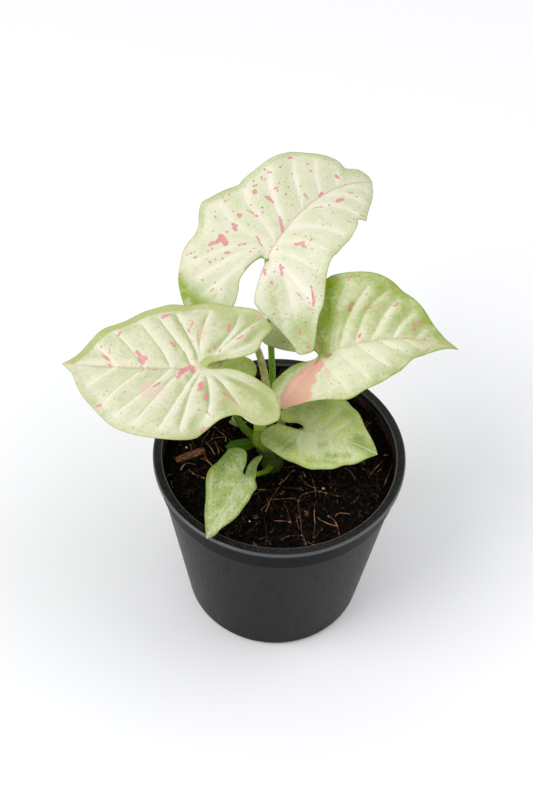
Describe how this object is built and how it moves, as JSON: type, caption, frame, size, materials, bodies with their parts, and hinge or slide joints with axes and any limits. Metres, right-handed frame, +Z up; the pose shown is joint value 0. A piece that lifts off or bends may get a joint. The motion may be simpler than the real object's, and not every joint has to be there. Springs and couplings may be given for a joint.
{
  "type": "potted syngonium",
  "caption": "Young syngonium with pale green, pink-flecked arrow-shaped leaves in a round black nursery pot filled with dark soil.",
  "frame": {"origin": "middle of the pot's base, on the surface it stands on", "axes": "+Z up along the pot's axis; -Y towards the side the picture was taken from; +X to the right seen from there"},
  "size_m": [0.1522, 0.163, 0.1562],
  "materials": {
    "pot_plastic": "satin black",
    "soil_peat": "dark, crumbly and fibrous",
    "leaf_pale": "pale green with pink flecks, satin",
    "leaf_green": "light green, satin",
    "leaf_dark": "dark green, glossy",
    "stalk_green": "mid green, satin",
    "stalk_olive": "olive brown, satin"
  },
  "bodies": {
    "root": {"pot": "pot_plastic", "soil": "soil_peat", "stem": "stalk_olive", "petiole_top": "stalk_green", "petiole_small_right": "stalk_green", "petiole_small_front": "stalk_green", "petiole_behind": "stalk_green", "petiole_left": "stalk_olive", "petiole_right": "stalk_olive", "leaf_top": "leaf_pale", "leaf_left": "leaf_pale", "leaf_right": "leaf_pale", "leaf_small_right": "leaf_green", "leaf_small_front": "leaf_green", "leaf_behind": "leaf_green", "leaf_young": "leaf_dark"}
  },
  "joints": []
}
